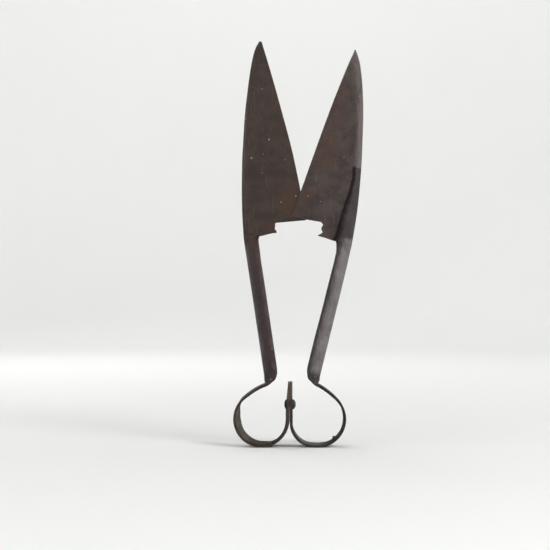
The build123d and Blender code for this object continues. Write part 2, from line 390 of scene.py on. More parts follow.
def blade_faces(half, u, v, from_back, to_edge):
    """y of the blade's flat face and of its outer face."""
    flat = BLADE_GAP + 0.05 + 0.04 * half.uneven(u, v, 18, FLAT_FACE)
    thickness = blend(BACK_THICKNESS, EDGE_THICKNESS, from_back / (from_back + to_edge))
    thickness *= blend(1.0, TIP_THINNING, ease(v, HEEL_V, TIP_V))
    crown = CROWN * (1 - min(from_back / CROWN_WIDTH, 1.0)) ** 2 * ease(v, 150, 185)
    bevel = BEVEL * (1 - ease(to_edge, 0.0, BEVEL_WIDTH))
    forging = 0.10 * half.uneven(u, v, 22, FORGING) + 0.03 * half.uneven(u, v, 6, HAMMERING)
    outer = BLADE_GAP + thickness - crown - bevel + forging - 0.1
    return flat, max(outer, flat + THINNEST)


def blade_bare_and_sheen(half, v, from_back, to_edge, drift, outside):
    """Bare steel: a band along the back, partly a painted highlight of the rounded back in the key lamp; the
    polished upper blade; and the cutting edge.
    """
    band_width = 9.0 if outside else 3.8
    # Band along the back: worn steel together with a painted highlight of the rounded back.
    band = 0.62 * (1 - ease(from_back, 0.3, band_width + 2 * drift))
    band *= ease(v, 145, 175) * (1 - 0.6 * ease(v, 215, 250))
    band *= 0.4 + 0.6 * half.polish
    polished = 0.30 * half.polish * ease(v, 212, 262)
    honed = 0.16 * (1 - ease(to_edge, 0.0, 1.0 + 0.5 * drift))
    return band + polished + honed


def blade_rust(half, u, v, to_edge, drift):
    """Rust: thin everywhere, in patches, and along the cutting edge above the heel."""
    rust = 0.12 + 0.2 * drift
    for patch_u, patch_v, width, height, strength in half.rust_patches:
        wander = 1 + 0.45 * half.uneven(u, v, 7, patch_v)
        rust += strength * hump(u, patch_u, width * wander) * hump(v, patch_v, height * wander)
    along_edge = (1 - ease(to_edge, 2.0, 18.0)) * ease(v, HEEL_V, 160) * (1 - ease(v, 235, 262))
    return rust + 0.22 * along_edge


def blade_soot_and_shade(half, seam_u, u, v, outside):
    """Soot on the root of an unpolished blade and at the heel; painted shade along the tang's seam and in the
    corner at its foot.
    """
    soot = 0.25 * (1 - half.polish) * (1 - ease(v, HEEL_V - 9, HEEL_V + 1)) * ease(u, 8, 20)
    soot += 0.35 * hump(v, HEEL_V, 2.0) * ease(u, 26, 32)
    if outside:
        # Painted shade in the seam along the tang's inner side.
        soot += hump(u, seam_u + 0.2, 1.3) * (1 - ease(v, TANG_TOP_V - 1, TANG_TOP_V + 2))
        # Painted shadow in the corner by the tang's foot.
        soot += 0.35 * hump(u, TANG_WIDTH + 1, 5) * hump(v, half.shoulder_v + 3, 8)
    return soot


class BladeLayout:
    """Where the grid points of a blade's two faces lie."""

    def __init__(self, half):
        self.half = half
        self.back, self.edge = blade_sides(half)
        self.step_side = profile(*half.step)
        self.tip_v = TIP_V - half.lost_length
        corner_u = half.step[-1][1]
        self.corner_share = (corner_u - BACK_RIM) / (HEEL_U - BACK_RIM)

    def nick(self, place, layer):
        """Fine and coarse nicks along a rim."""
        fine = 0.25 * self.half.uneven(place, 0, 1.6, layer)
        return fine + 0.2 * self.half.uneven(place, 0, 5, layer)

    def spot(self, i, j):
        """(u, v, distance from the back, distance to the edge) of a grid point."""
        return self.root_spot(i, j) if i < ROOT_ROWS else self.upper_spot(i, j)

    def root_spot(self, i, j):
        """A point between the foot of the root and the heel."""
        t = i / ROOT_ROWS
        foot_line = self.half.foot_line
        v = blend(self.half.shoulder_v + RIM, HEEL_V, t)
        spur_v = v + foot_line(SPUR_U) * (1 - t)
        left = self.back(v) + BACK_RIM
        right = self.step_side(spur_v) - RIM + self.nick(v, ROOT_NICKS) * (1 - t)
        share = j / ROOT_COLUMNS
        u = blend(left, right, share)
        return u, v + foot_line(u) * (1 - t), (right - left) * share, FAR_FROM_EDGE

    def upper_spot(self, i, j):
        """A point between the heel and the tip."""
        t = (i - ROOT_ROWS) / (ALL_ROWS - ROOT_ROWS)
        back_v = blend(HEEL_V, self.tip_v - TIP_BACK_INSET, t)
        edge_v = blend(HEEL_V - HEEL_SLOPE, self.tip_v - TIP_EDGE_INSET, t)
        left = self.back(back_v) + BACK_RIM
        right = self.edge(edge_v) - EDGE_INSET + 0.45 * self.nick(edge_v, EDGE_NICKS)
        share = self.share(j)
        past_corner = max(share - self.corner_share, 0) / (1 - self.corner_share)
        drop = self.half.heel_drop * past_corner * (1 - ease(i, ROOT_ROWS, ROOT_ROWS + HEEL_ROWS))
        nicked = (1 - ease(i, ROOT_ROWS, ROOT_ROWS + NICKED_ROWS)) * ease(share, 0.5, 0.6)
        v = blend(back_v, edge_v, share) - drop + 0.25 * self.nick(left + share * 40, HEEL_NICKS) * nicked
        return blend(left, right, share), v, (right - left) * share, (right - left) * (1 - share)

    def share(self, j):
        """How far column j lies from the back to the cutting edge."""
        if j <= ROOT_COLUMNS:
            return self.corner_share * j / ROOT_COLUMNS
        past = (j - ROOT_COLUMNS) / (ALL_COLUMNS - ROOT_COLUMNS)
        return blend(self.corner_share, 1.0, past)


def lay_faces(half, shell):
    """Adds both faces. Returns (u, v, flat y, outer y, flat vertex, outer vertex) by (row, column)."""
    layout = BladeLayout(half)
    seam = tang_seam(half)
    grid = {}
    for i in range(ALL_ROWS + 1):
        for j in range((ROOT_COLUMNS if i < ROOT_ROWS else ALL_COLUMNS) + 1):
            u, v, from_back, to_edge = layout.spot(i, j)
            flat, outer = blade_faces(half, u, v, from_back, to_edge)
            drift = half.uneven(u, v, 9, BLADE_STAIN)
            rust = blade_rust(half, u, v, to_edge, drift)
            ends = []
            for y, outside in ((flat, False), (outer, True)):
                bare = blade_bare_and_sheen(half, v, from_back, to_edge, drift, outside)
                soot = blade_soot_and_shade(half, seam(v), u, v, outside)
                ends.append(shell.add(half.world(u, v, y), bare=bare, rust=rust, soot=soot))
            grid[i, j] = (u, v, flat, outer, *ends)
    for i, j in grid:
        if (i + 1, j + 1) in grid and (i, j + 1) in grid:
            ring = [(i, j), (i, j + 1), (i + 1, j + 1), (i + 1, j)]
            shell.faces.append(tuple(grid[key][4] for key in ring))
            shell.faces.append(tuple(grid[key][5] for key in reversed(ring)))
    return grid


def blade_border():
    """(row, column) of the grid points round the blade's outline."""
    border = [(0, j) for j in range(ROOT_COLUMNS + 1)]
    border += [(i, ROOT_COLUMNS) for i in range(1, ROOT_ROWS + 1)]
    border += [(ROOT_ROWS, j) for j in range(ROOT_COLUMNS + 1, ALL_COLUMNS + 1)]
    border += [(i, ALL_COLUMNS) for i in range(ROOT_ROWS + 1, ALL_ROWS + 1)]
    border += [(ALL_ROWS, j) for j in range(ALL_COLUMNS - 1, -1, -1)]
    border += [(i, 0) for i in range(ALL_ROWS - 1, 0, -1)]
    return border


def rim_reach(i, j):
    """How far the rim stands out past a border point."""
    if i in (0, ALL_ROWS):
        return blend(BACK_RIM, RIM, ease(j, 0, 1.5))
    if j == 0:
        return BACK_RIM
    return EDGE_RIM if j == ALL_COLUMNS else RIM


def lay_rim(half, shell, grid):
    """Adds the rounded wall between the two faces."""
    border = blade_border()
    bulges = []
    for n, (i, j) in enumerate(border):
        before, after = grid[border[n - 1]], grid[border[(n + 1) % len(border)]]
        along = Vector((after[0] - before[0], after[1] - before[1])).normalized()
        bulges.append(Vector((along.y, -along.x)) * rim_reach(i, j))
    rings = [[grid[key][4] for key in border]]
    for step in range(1, WALL_STEPS):
        angle = math.pi * step / WALL_STEPS
        out = math.sin(angle) ** 0.75
        through = (1 - math.copysign(abs(math.cos(angle)) ** 0.9, math.cos(angle))) / 2
        ring = []
        for key, bulge in zip(border, bulges):
            u, v, flat, outer, _, face_vertex = grid[key]
            point = half.world(u + bulge.x * out, v + bulge.y * out, blend(flat, outer, through))
            masks = {mask: values[face_vertex] for mask, values in shell.masks.items()}
            masks["bare"] += 0.25 * out if key[0] > ROOT_ROWS else 0.0
            ring.append(shell.add(point, **masks))
        rings.append(ring)
    rings.append([grid[key][5] for key in border])
    for ring, next_ring in zip(rings, rings[1:]):
        shell.bridge(next_ring, ring)


def make_blade(half, steel):
    """Blade as two gridded faces with a rounded rim between them."""
    shell = Shell()
    grid = lay_faces(half, shell)
    lay_rim(half, shell, grid)
    piece = shell.piece(f"{half.name}_blade_forged", steel, "blade_steel", f"{half.name}_blade")
    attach(piece, f"{half.name}_half")


# --- grips: the strip curled into a half-round channel, closed at the shoulder, drawn out as the tang ---
def channel(length, low_y, high_y, wall, curl, square, fill):
    """Closed section (a, y) of a curled band: a = 0 at its web, a = length at its lips.

    curl 0 is a flat strip and 1 a half-round channel; fill 1 makes it solid up to the lips;
    square is the exponent of its outline, 2 for an ellipse and more for a boxy one.
    """
    steps, lip_steps = 26, 5
    middle, reach = (low_y + high_y) / 2, (high_y - low_y) / 2
    out_end, in_end = length - wall + wall * curl / 2, length - wall * curl / 2
    in_reach = reach - wall * curl
    in_end = blend(in_end, length, fill)

    def sweep(sign):
        for k in range(steps + 1):
            angle = sign * blend(-math.pi / 2, math.pi / 2, k / steps)
            rise = abs(math.cos(angle)) ** (2 / square)
            side = math.copysign(abs(math.sin(angle)) ** (2 / square), angle)
            yield 1 - rise, side

    def lip(sign):
        start, end = Vector((out_end, sign * reach)), Vector((in_end, sign * in_reach))
        chord = end - start
        out = Vector((chord.y, -chord.x)).normalized() * -sign * chord.length * 0.42
        out *= 1 - 0.6 * fill
        for k in range(1, lip_steps):
            angle = math.pi * k / lip_steps
            point = blend(start, end, (1 - math.cos(angle)) / 2) + out * math.sin(angle)
            yield point.x, middle + point.y

    section = [(out_end * rise, middle + reach * side) for rise, side in sweep(1)]
    section += list(lip(1))
    web = blend(wall, in_end, fill)
    section += [(web + (in_end - web) * rise, middle + in_reach * side) for rise, side in sweep(-1)]
    section += reversed(list(lip(-1)))
    return section


def tang_seam(half):
    """u of the tang's inner side, as a function of v."""
    foot = half.shoulder_v
    return profile(
        (foot, TANG_WIDTH + half.flare),
        (foot + 4, TANG_WIDTH + 0.2 * half.flare),
        (foot + 19, 13.6),
        (foot + 29, 12.9),
        (foot + 42, 11.9),
        (foot + 53, 11.8),
        (TANG_TOP_V, 13.6),
    )


Station = namedtuple("Station", "outer inner low_y high_y wall curl square fill")


def grip_depth(v):
    """Depth of the grip, which grows out of the neck."""
    return blend(NECK_DEPTH + NECK_SWELL, GRIP_DEPTH, ease(v, -8, 20))


def through_points(before, start, end, after, t):
    """Point of the smooth curve from start to end whose neighbours are before and after."""
    return 0.5 * (
        2 * start
        + (end - before) * t
        + (2 * before - 5 * start + 4 * end - after) * t * t
        + (3 * start - before - 3 * end + after) * t**3
    )


def neck_stations(half):
    """The turn from the level strip into the upright grip."""
    wide = half.grip_width
    neck = [  # outer side, inner side and curl
        (Vector((-2.2, -4.1)), Vector((-1.7, -6.4)), 0.0),
        (Vector((-0.6, -3.75)), Vector((0.6, -6.1)), 0.05),
        (Vector((-0.1, -3.3)), Vector((3.4, -5.1)), 0.25),
        (Vector((0.0, -2.3)), Vector((6.0, -3.5)), 0.45),
        (Vector((0.0, -0.9)), Vector((8.9, -1.7)), 0.65),
        (Vector((0.0, 0.9)), Vector((wide - 1.3, 0.9)), 0.8),
        (Vector((0.0, 3.2)), Vector((wide - 0.4, 3.6)), 0.92),
        (Vector((0.0, 6.2)), Vector((wide - 0.05, 6.6)), 1.0),
        (Vector((0.0, 9.6)), Vector((wide, 9.8)), 1.0),
    ]
    steps = 4
    for k in range(len(neck) - 1):
        before, start, end, after = (neck[min(max(k + n, 0), len(neck) - 1)] for n in (-1, 0, 1, 2))
        for step in range(steps):
            t = step / steps
            outer, inner = (through_points(before[n], start[n], end[n], after[n], t) for n in (0, 1))
            outer.x += half.grip_outer(outer.y)
            curl = blend(start[2], end[2], t)
            reach = grip_depth(outer.y) / 2
            yield Station(outer, inner, -reach, reach, GRIP_WALL, curl, blend(3.2, 2.2, curl), 0.0)


def grip_faces(half):
    """Low and high y of the grip and its shoulder, as functions of v."""
    foot = half.shoulder_v
    low_y = profile(
        (foot - 24, -9.5),
        (foot - 12, -7.8),
        (foot - 5, -4.2),
        (foot - 1, -0.6),
        (foot + 1.4, 0.22),
    )
    high_y = profile((foot - 24, 9.5), (foot - 10, 8.2), (foot, 6.4), (foot + 6, TANG_FACE_Y))
    return low_y, high_y


def channel_stations(half):
    """The hollow grip, filling up towards the shoulder."""
    foot = half.shoulder_v
    low_y, high_y = grip_faces(half)
    width = profile(
        (foot - 40, half.grip_width),
        (foot - 12, half.grip_width - 0.2),
        (foot - 3, 11.9 + 0.6 * half.flare),
        (foot, TANG_WIDTH + half.flare),
    )
    filling_from, plain_below = foot - 26, 60
    v = 9.6
    while v < foot - 0.25:
        low, high = low_y(v), high_y(v)
        if v < plain_below:
            low, high = max(low, -grip_depth(v) / 2), min(high, grip_depth(v) / 2)
        outer_u = blend(0.0, SHOULDER_U, ease(v, plain_below, foot)) + half.grip_outer(v)
        inner_u = width(v) + half.grip_shift * ease(v, 30, 60)
        fill = ease(v, filling_from, foot - 12)
        square = blend(2.2, 4.5, ease(v, foot - 8, foot))
        yield Station(Vector((outer_u, v)), Vector((inner_u, v)), low, high, GRIP_WALL, 1.0, square, fill)
        v += 1.3 if v < filling_from else 0.7


def tang_stations(half):
    """The tang, lapped on the blade's outer face along its back, with a ragged inner side."""
    foot = half.shoulder_v
    low_y, high_y = grip_faces(half)
    back, _ = blade_sides(half)
    seam = tang_seam(half)
    v = foot + 0.15
    while v < TANG_TOP_V + 0.05:
        high = blend(high_y(v), TANG_FACE_Y_TOP, ease(v, foot + 4, TANG_TOP_V) ** 0.8)
        high -= 0.35 * ease(v, TANG_TOP_V - 1.0, TANG_TOP_V)
        low = blend(low_y(v), TANG_UNDER_Y, ease(v, foot + 1.4, foot + 2.6))
        ragged = 0.6 * half.uneven(v, 0, 5, TANG_WAVES) + 0.45 * half.uneven(v, 0, 2, TANG_NICKS)
        outer = Vector((back(v) + 0.1, v))
        inner = Vector((seam(v) + ragged, v + 0.3 * half.uneven(v, 5, 4, TANG_SLANT)))
        yield Station(outer, inner, low, high, TANG_WALL, 1.0, 5.0, 1.0)
        v += 0.9 if v < TANG_TOP_V - 1.5 else 0.35


def grip_masks(half, station, length, a, u, v, y):
    """Bare, rusty and darkened parts of the grip and tang, a millimetres from the web. The bare steel is
    partly painted highlight and reflection, and the darkening is partly painted shade.
    """
    foot, share = half.shoulder_v, a / length
    on_grip = 1 - ease(v, foot + 1, foot + 6)
    tone = half.uneven(u + y, v, 12, GRIP_STAIN)
    # Bare steel, partly a painted highlight and reflection where the grip is turned to the lamps.
    bare = half.grip_bare_and_sheen(share) * (0.95 + 0.3 * tone) * blend(0.15, 1, on_grip) * ease(v, -2, 10)

    rust = half.grip_rust(share) + 0.5 * (1 - half.polish) * ease(v, foot - 14, foot)
    low_patch = hump(v, 44, 6) * ease(tone, -0.1, 0.3)
    shoulder_patch = hump(v, foot, 8) * ease(a, 3, 11)
    rust += 0.45 * low_patch + 0.4 * shoulder_patch

    # Painted shade on the lips, which are turned from the key lamp; it is stronger on the more polished half.
    # There is a painted shadow in the shoulder's corner and painted shade along the tang's seam. The neck is
    # darker towards the lips.
    lips = on_grip * ease(share, 0.9, 0.98) * (1 - station.fill) * half.polish
    shoulder_corner = hump(v, foot + 2, 8) * ease(a, 9.0, 12.5)
    neck = (1 - ease(v, -4, 4)) * ease(share, 0.3, 0.8)
    seam = (1 - ease(length - a, 0.5, 1.3)) * ease(v, foot + 2, foot + 5)
    soot = 0.6 * lips + 0.9 * shoulder_corner + 0.35 * neck + 0.95 * seam
    return {"bare": bare, "rust": rust, "soot": soot}


def make_grip(half, steel):
    """Grip, shoulder and tang as one tube of channel sections."""
    shell = Shell()
    rings = []
    for stations in (neck_stations, channel_stations, tang_stations):
        for station in stations(half):
            length = (station.inner - station.outer).length
            ring = []
            for a, y in channel(length, *station[2:]):
                u, v = blend(station.outer, station.inner, a / length)
                dent = 0.12 * half.uneven(u + 2 * y, v, 14, GRIP_DENTS) * ease(a, 0.5, 2.0)
                masks = grip_masks(half, station, length, a, u, v, y)
                ring.append(shell.add(half.world(u, v, y + dent), **masks))
            rings.append(ring)
    shell.tube(rings)
    piece = shell.piece(f"{half.name}_grip_channel", steel, "grip_steel", f"{half.name}_handle")
    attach(piece, f"{half.name}_half")


# --- bows: flat spring strip from the tongue, round the loop, to the neck ---
def arc_points(start, heading, end, count):
    """Points and headings along the arc that leaves start along heading and arrives at end."""
    reach = end - start
    side = Vector((-heading.y, heading.x))
    radius = reach.length_squared / (2 * reach.dot(side))
    centre = start + side * radius
    turn = 2 * math.asin(reach.length / (2 * radius))
    for k in range(1, count + 1):
        angle = turn * k / count
        cos, sin = math.cos(angle), math.sin(angle)
        arm = start - centre
        point = centre + Vector((arm.x * cos - arm.y * sin, arm.x * sin + arm.y * cos))
        yield point, Vector((heading.x * cos - heading.y * sin, heading.x * sin + heading.y * cos))


def bow_line(half):
    """(point, heading) along the strip's outer face, in (across, up), tongue top first."""
    tongue_steps, loop_steps, neck_steps = 26, 170, 18
    line = []
    for k in range(tongue_steps):
        up = blend(TONGUE_TOP_Z, LOOP_RADIUS, k / tongue_steps)
        line.append((Vector((0.0, up)), Vector((0.0, -1.0))))
    centre = Vector((-LOOP_RADIUS, LOOP_RADIUS))
    leaves = STRIP_LEAVES + half.lean - 360
    for k in range(loop_steps + 1):
        angle = math.radians(leaves * k / loop_steps)
        out = Vector((math.cos(angle), math.sin(angle)))
        line.append((centre + out * LOOP_RADIUS, Vector((out.y, -out.x))))
    start, heading = line[-1]
    line += list(arc_points(start, heading, Vector(half.upright(*NECK_CORNER)), neck_steps))
    return line


class StripSpot:
    """The strip at one point of its line: how far along it is, its size, twist and swelling."""

    def __init__(self, half, point, heading, gone, total):
        tongue = TONGUE_TOP_Z - LOOP_RADIUS
        self.half, self.point = half, point
        self.out = Vector((-heading.y, heading.x))
        self.gone, self.left = gone, total - gone
        self.up = point.y
        self.on_tongue = gone < tongue
        self.travelled = math.degrees((gone - tongue) / LOOP_RADIUS)
        self.tongue_top = ease(self.up, RIVET_Z, RIVET_Z + 8) if self.on_tongue else 0.0
        self.twist = math.sin(math.radians(half.twist(self.travelled)))
        self.burr = half.burr * hump(self.travelled, BURR_TRAVEL, BURR_SPREAD)
        self.thick = half.thickness(self.travelled) + 0.08 * half.uneven(gone, 3, 12, STRIP_WAVES)
        taper = min(max((self.up - DEPTH_TAPER_FROM_Z) / DEPTH_TAPER_HEIGHT, 0), 1)
        self.depth = blend(STRIP_DEPTH, STRIP_DEPTH_TOP, taper)
        self.depth += 0.35 * half.uneven(gone, 0, 9, STRIP_EDGES) - 0.3
        if self.on_tongue:
            thinned = ease(self.up, TONGUE_TAPER_FROM_Z, TONGUE_TOP_Z + TAPER_PAST_TOP)
            self.thick = blend(self.thick, half.tongue_tip, thinned)
            rounded = ease(self.up, TONGUE_TOP_Z - 2.5, TONGUE_TOP_Z + 0.5)
            self.depth -= TONGUE_CORNER * rounded**2

    def inner_face(self, inward):
        """0 on the strip's outer half, 1 on its inner face."""
        return ease(inward, self.thick * 0.5, self.thick)

    def place(self, inward, y):
        """A point of the section, in the half's (across, up, y)."""
        from_front = self.depth / 2 - (y if self.half.turned else -y)
        reach = inward - self.half.fullness(self.travelled) + from_front * self.twist
        reach += self.inner_face(inward) * self.burr
        reach += 0.05 * (1 + self.half.uneven(self.gone, y, 7, STRIP_SKIN))
        place = self.point - self.out * reach
        return place.x - HALF_GAP, place.y, y

    def masks(self, inward, y):
        """Bare, rusty and darkened parts of the strip, with painted shade on its inner face."""
        inner_face = self.inner_face(inward)
        tone = self.half.uneven(self.gone, y, 11, STRIP_STAIN)
        rim = ease(abs(y), self.depth / 2 - 0.8, self.depth / 2)
        # Less bare steel low down, so the strip is darker towards the floor.
        worn = 0.20 + 0.25 * tone + 0.25 * self.half.polish * ease(self.up, 4, 30) + 0.12 * inner_face
        bare = (1 - rim) * worn + (0.45 + 0.3 * tone) * self.tongue_top
        by_rivet = hump(self.up, RIVET_Z, 6) * ease(self.up, 24, 30)
        rust = 0.3 * self.tongue_top + 0.3 * by_rivet + 0.25 * ease(tone, 0.1, 0.5)
        soot = 0.28 * rim * (1 - inner_face * 0.4) * (1 - 0.65 * self.tongue_top)
        # Painted shade on the inner face, where it is turned from the lamps.
        soot += inner_face * self.half.inner_shade(self.travelled) * (1 - self.tongue_top)
        soot += 0.5 * (1 - ease(self.left, 0, 8))
        return {"bare": bare, "rust": rust, "soot": soot}


def strip_section(depth, thick):
    """Closed rounded section (inward, y) of the strip, inward measured from its outer face."""
    round_off = min(0.55, thick * 0.4)
    across, corner_steps = 14, 4
    section = []
    corners = (
        (round_off, depth / 2 - round_off, 180, 90),
        (thick - round_off, depth / 2 - round_off, 90, 0),
        (thick - round_off, round_off - depth / 2, 0, -90),
        (round_off, round_off - depth / 2, -90, -180),
    )
    for n, (inward, y, start, end) in enumerate(corners):
        for k in range(corner_steps + 1):
            angle = math.radians(blend(start, end, k / corner_steps))
            section.append((inward + round_off * math.cos(angle), y + round_off * math.sin(angle)))
        if n in (1, 3):
            first, last = section[-1], -section[-1][1]
            for k in range(1, across):
                section.append((first[0], blend(first[1], last, k / across)))
    return section


def bend_across_joint(piece):
    """Bakes the strip's transform into its mesh."""
    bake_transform(piece)


def make_bow(half, steel):
    """Bow as one tube of strip sections."""
    shell = Shell()
    rings = []
    line = bow_line(half)
    total = sum((b[0] - a[0]).length for a, b in zip(line, line[1:]))
    gone = 0.0
    previous = line[0][0]
    for point, heading in line:
        gone += (point - previous).length
        previous = point
        spot = StripSpot(half, point, heading, gone, total)
        section = strip_section(spot.depth, spot.thick)
        ring = [shell.add(half.stand(*spot.place(*at)), **spot.masks(*at)) for at in section]
        rings.append(ring)
    shell.tube(rings)
    piece = shell.piece(f"{half.name}_bow_spring", steel, "bow_steel", f"{half.name}_bow")
    bend_across_joint(piece)


# --- rivet ---
def rivet_outline(seat):
    """(along, radius) from the left dome, over the shank, to the right dome."""
    left_end, right_end = rivet_low.x - BOW_PLANE_X, rivet_high.x - BOW_PLANE_X
    shank, dome_steps = 2.2, 10

    def dome(end):
        for k in range(dome_steps):
            angle = math.radians(90 * (k + 0.6) / dome_steps)
            along = math.copysign(blend(seat + 0.35, abs(end), math.cos(angle)), end)
            yield along, HEAD_RADIUS * math.sin(angle) ** 0.95

    line = list(dome(left_end))
    line += [(-seat - 0.15, HEAD_RADIUS), (-seat, HEAD_RADIUS - 0.3), (-seat, shank)]
    line += [(seat, shank), (seat, HEAD_RADIUS - 0.3), (seat + 0.15, HEAD_RADIUS)]
    return line + list(reversed(list(dome(right_end))))


def make_rivet(steel):
    """Hammered rivet: a domed head each side of the two tongues and the shank between."""
    shell = Shell()
    seat, around = STRIP_THICKNESS - 0.15, 40
    rings = []
    for along, radius in rivet_outline(seat):
        ring = []
        for k in range(around):
            angle = 2 * math.pi * k / around
            cos, sin = math.cos(angle), math.sin(angle)
            struck = radius * (1 - 0.07 * abs(noise.noise(Vector((cos * 1.3, sin * 1.3, along)))))
            facet = 0.12 * noise.noise(Vector((cos * radius * 0.5, sin * radius * 0.5, along)))
            x = along - math.copysign(facet, along) if abs(along) > seat + 0.2 else along
            point = Vector((BOW_PLANE_X + x, struck * cos, RIVET_Z + struck * sin)) * MM
            # Painted shade on the left dome, which is turned from the key lamp. The right dome faces the key
            # lamp and is brightened with bare steel that is partly a painted highlight. Both heads are darker
            # round their rims.
            soot = 0.2 * ease(radius, 3.5, 4.3) + 0.6 * (1 - ease(along, -3, -1))
            ring.append(shell.add(point, bare=0.45 * ease(along, 2, 4), rust=0.35, soot=soot))
        rings.append(ring)
    shell.tube(rings)
    piece = shell.piece("bow_rivet_set", steel, "rivet_steel", "bow_rivet")
    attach(piece, "bow")


# --- materials ---
def shade(colour, strength):
    return tuple(strength * channel for channel in colour)


class Nodes:
    """Short forms for laying out one material's node tree."""

    def __init__(self, name):
        self.material = bpy.data.materials.new(name)
        self.material.use_nodes = True
        self.tree = self.material.node_tree
        self.shader = self.tree.nodes["Principled BSDF"]
        self.place = self.tree.nodes.new("ShaderNodeTexCoord").outputs["Object"]

    def add(self, kind, inputs=(), **settings):
        node = self.tree.nodes.new(kind)
        for key, value in settings.items():
            setattr(node, key, value)
        for socket, value in dict(inputs).items():
            self.feed(node.inputs[socket], value)
        return node

    def feed(self, socket, value):
        if isinstance(value, bpy.types.NodeSocket):
            self.tree.links.new(value, socket)
        else:
            socket.default_value = value

    def stretched(self, along, turn):
        """Object space drawn out along the upright direction and turned by degrees."""
        settings = {"Vector": self.place, "Scale": (1.0, 1.0, along), "Rotation": (0, math.radians(turn), 0)}
        return self.add("ShaderNodeMapping", settings).outputs[0]

    def noise(self, size, detail=5.0, roughness=0.6, place=None):
        """Noise whose blotches are about size millimetres across."""
        settings = {"Scale": 1 / (size * MM), "Detail": detail, "Roughness": roughness}
        settings["Vector"] = place or self.place
        return self.add("ShaderNodeTexNoise", settings).outputs[0]

    def pits(self, size):
        """Distance to the nearest of many scattered points, size millimetres apart."""
        settings = {"Scale": 1 / (size * MM), "Vector": self.place}
        return self.add("ShaderNodeTexVoronoi", settings).outputs["Distance"]

    def mask(self, name):
        return self.add("ShaderNodeAttribute", attribute_name=name).outputs["Fac"]

    def step(self, value, low, high, start=0.0, end=1.0):
        settings = {"Value": value, "From Min": low, "From Max": high, "To Min": start, "To Max": end}
        return self.add("ShaderNodeMapRange", settings, interpolation_type="SMOOTHSTEP").outputs[0]

    def math(self, operation, *values):
        node = self.add("ShaderNodeMath", operation=operation)
        for socket, value in zip(node.inputs, values):
            self.feed(socket, value)
        return node.outputs[0]

    def times(self, value, strength):
        return self.math("MULTIPLY", value, strength)

    def plus(self, value, more):
        return self.math("ADD", value, more)

    def minus(self, value, less):
        return self.math("SUBTRACT", value, less)

    def swing(self, value, middle, strength):
        """How far a noise is from its middle, times strength."""
        return self.times(self.minus(value, middle), strength)

    def mix(self, factor, low, high):
        """Colour between low and high, each a socket or three numbers."""
        node = self.add("ShaderNodeMix", {0: factor}, data_type="RGBA")
        for socket, value in ((node.inputs[6], low), (node.inputs[7], high)):
            self.feed(socket, value if isinstance(value, bpy.types.NodeSocket) else (*value, 1))
        return node.outputs[2]

    def bump(self, height, depth, strength, before=None):
        """Bump of the given depth in millimetres, on top of an earlier one."""
        settings = {"Height": height, "Distance": depth * MM, "Strength": strength}
        if before is not None:
            settings["Normal"] = before
        return self.add("ShaderNodeBump", settings).outputs[0]


# Each steel's bare colour also serves for its painted highlights.
Steel = namedtuple("Steel", "dark mid bare rust rough metal gloss")
FLECK_COLOUR = (0.42, 0.38, 0.33)
CHIP_COLOUR = (0.30, 0.26, 0.24)


def scratch_lines(n):
    """Two sets of fine scratches, leaning opposite ways."""
    one_way = n.step(n.noise(0.55, 2, 0.5, n.stretched(0.025, 28)), 0.66, 0.74)
    other_way = n.step(n.noise(0.8, 2, 0.5, n.stretched(0.03, -35)), 0.69, 0.76)
    return n.math("MAXIMUM", one_way, other_way)


def chipped(n, colour, speck, chips):
    """The colour with bright spots, each given as (point in metres, radius in millimetres)."""
    ragged = n.swing(speck, 0.5, 1.6 * MM)
    for point, radius in chips:
        away = n.add("ShaderNodeVectorMath", {0: n.place, 1: point}, operation="DISTANCE").outputs["Value"]
        chip = n.step(n.plus(away, ragged), radius * MM, 0.4 * radius * MM)
        colour = n.mix(n.times(chip, 0.75), colour, CHIP_COLOUR)
    return colour


